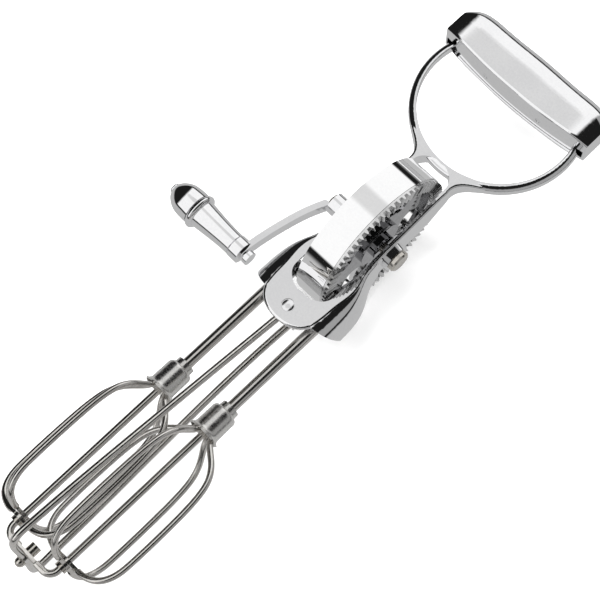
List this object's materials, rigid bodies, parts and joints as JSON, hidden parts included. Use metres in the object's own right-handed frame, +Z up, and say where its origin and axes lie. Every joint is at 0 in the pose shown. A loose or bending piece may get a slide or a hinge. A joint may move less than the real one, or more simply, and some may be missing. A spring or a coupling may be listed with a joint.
{
  "type": "egg beater",
  "caption": "Hand-cranked rotary egg beater in polished metal: D-shaped handle frame, face-toothed drive wheel with crank and knob, twin counter-rotating wire beaters between guard wires",
  "frame": {"origin": "on the table directly under the centre of the drive wheel, where its rim rests", "axes": "+Z up, square to the frame's face; +Y along the beater from the foot to the grip; +X along the axle to its riveted head, the crank being on -X"},
  "size_m": [0.1206, 0.3225, 0.0752],
  "materials": {
    "chrome": "polished",
    "stainless": "satin",
    "nickel": "polished",
    "gear_steel": "satin",
    "dull_steel": "matte"
  },
  "bodies": {
    "frame": {"axle_bush_left": "dull_steel", "axle_bush_right": "dull_steel", "bearing_bracket": "dull_steel", "foot_barrel": "stainless", "foot_rivet": "nickel", "foot_wire": "stainless", "grip_liner": "dull_steel", "grip_rivets": "nickel", "grip_shell": "chrome", "guard_wire": "stainless", "main_frame": "chrome", "plate_rivet": "nickel"},
    "crank": {"drive_wheel": "chrome", "crown_left": "gear_steel", "crown_right": "gear_steel", "axle": "nickel", "crank_arm": "chrome", "knob_pin": "nickel", "crank_washer": "dull_steel"},
    "knob": {"knob_body": "chrome", "knob_bead": "chrome", "knob_cap": "chrome"},
    "left_beater": {"ferrule_left": "stainless", "hub_collar_left": "stainless", "pinion_left": "gear_steel", "shaft_left": "stainless", "wire_a_left": "stainless", "wire_b_left": "stainless"},
    "right_beater": {"ferrule_right": "stainless", "hub_collar_right": "stainless", "pinion_right": "gear_steel", "shaft_right": "stainless", "wire_a_right": "stainless", "wire_b_right": "stainless"}
  },
  "joints": [
    {"name": "crank_turn", "type": "hinge", "parent": "frame", "child": "crank", "pos_m": [0, 0, 0.0376], "axis": [1, 0, 0], "continuous": true},
    {"name": "knob_spin", "type": "hinge", "parent": "crank", "child": "knob", "pos_m": [-0.05, -0.0453, 0.0376], "axis": [1, 0, 0], "continuous": true},
    {"name": "left_beater_spin", "type": "hinge", "parent": "frame", "child": "left_beater", "pos_m": [-0.01375, -0.05, 0.0376], "axis": [0, 1, 0], "continuous": true},
    {"name": "right_beater_spin", "type": "hinge", "parent": "frame", "child": "right_beater", "pos_m": [0.01375, -0.05, 0.0376], "axis": [0, 1, 0], "continuous": true}
  ],
  "couplings": [
    {"joint": "left_beater_spin", "follows": "crank_turn", "ratio": 6},
    {"joint": "right_beater_spin", "follows": "crank_turn", "ratio": -6}
  ]
}
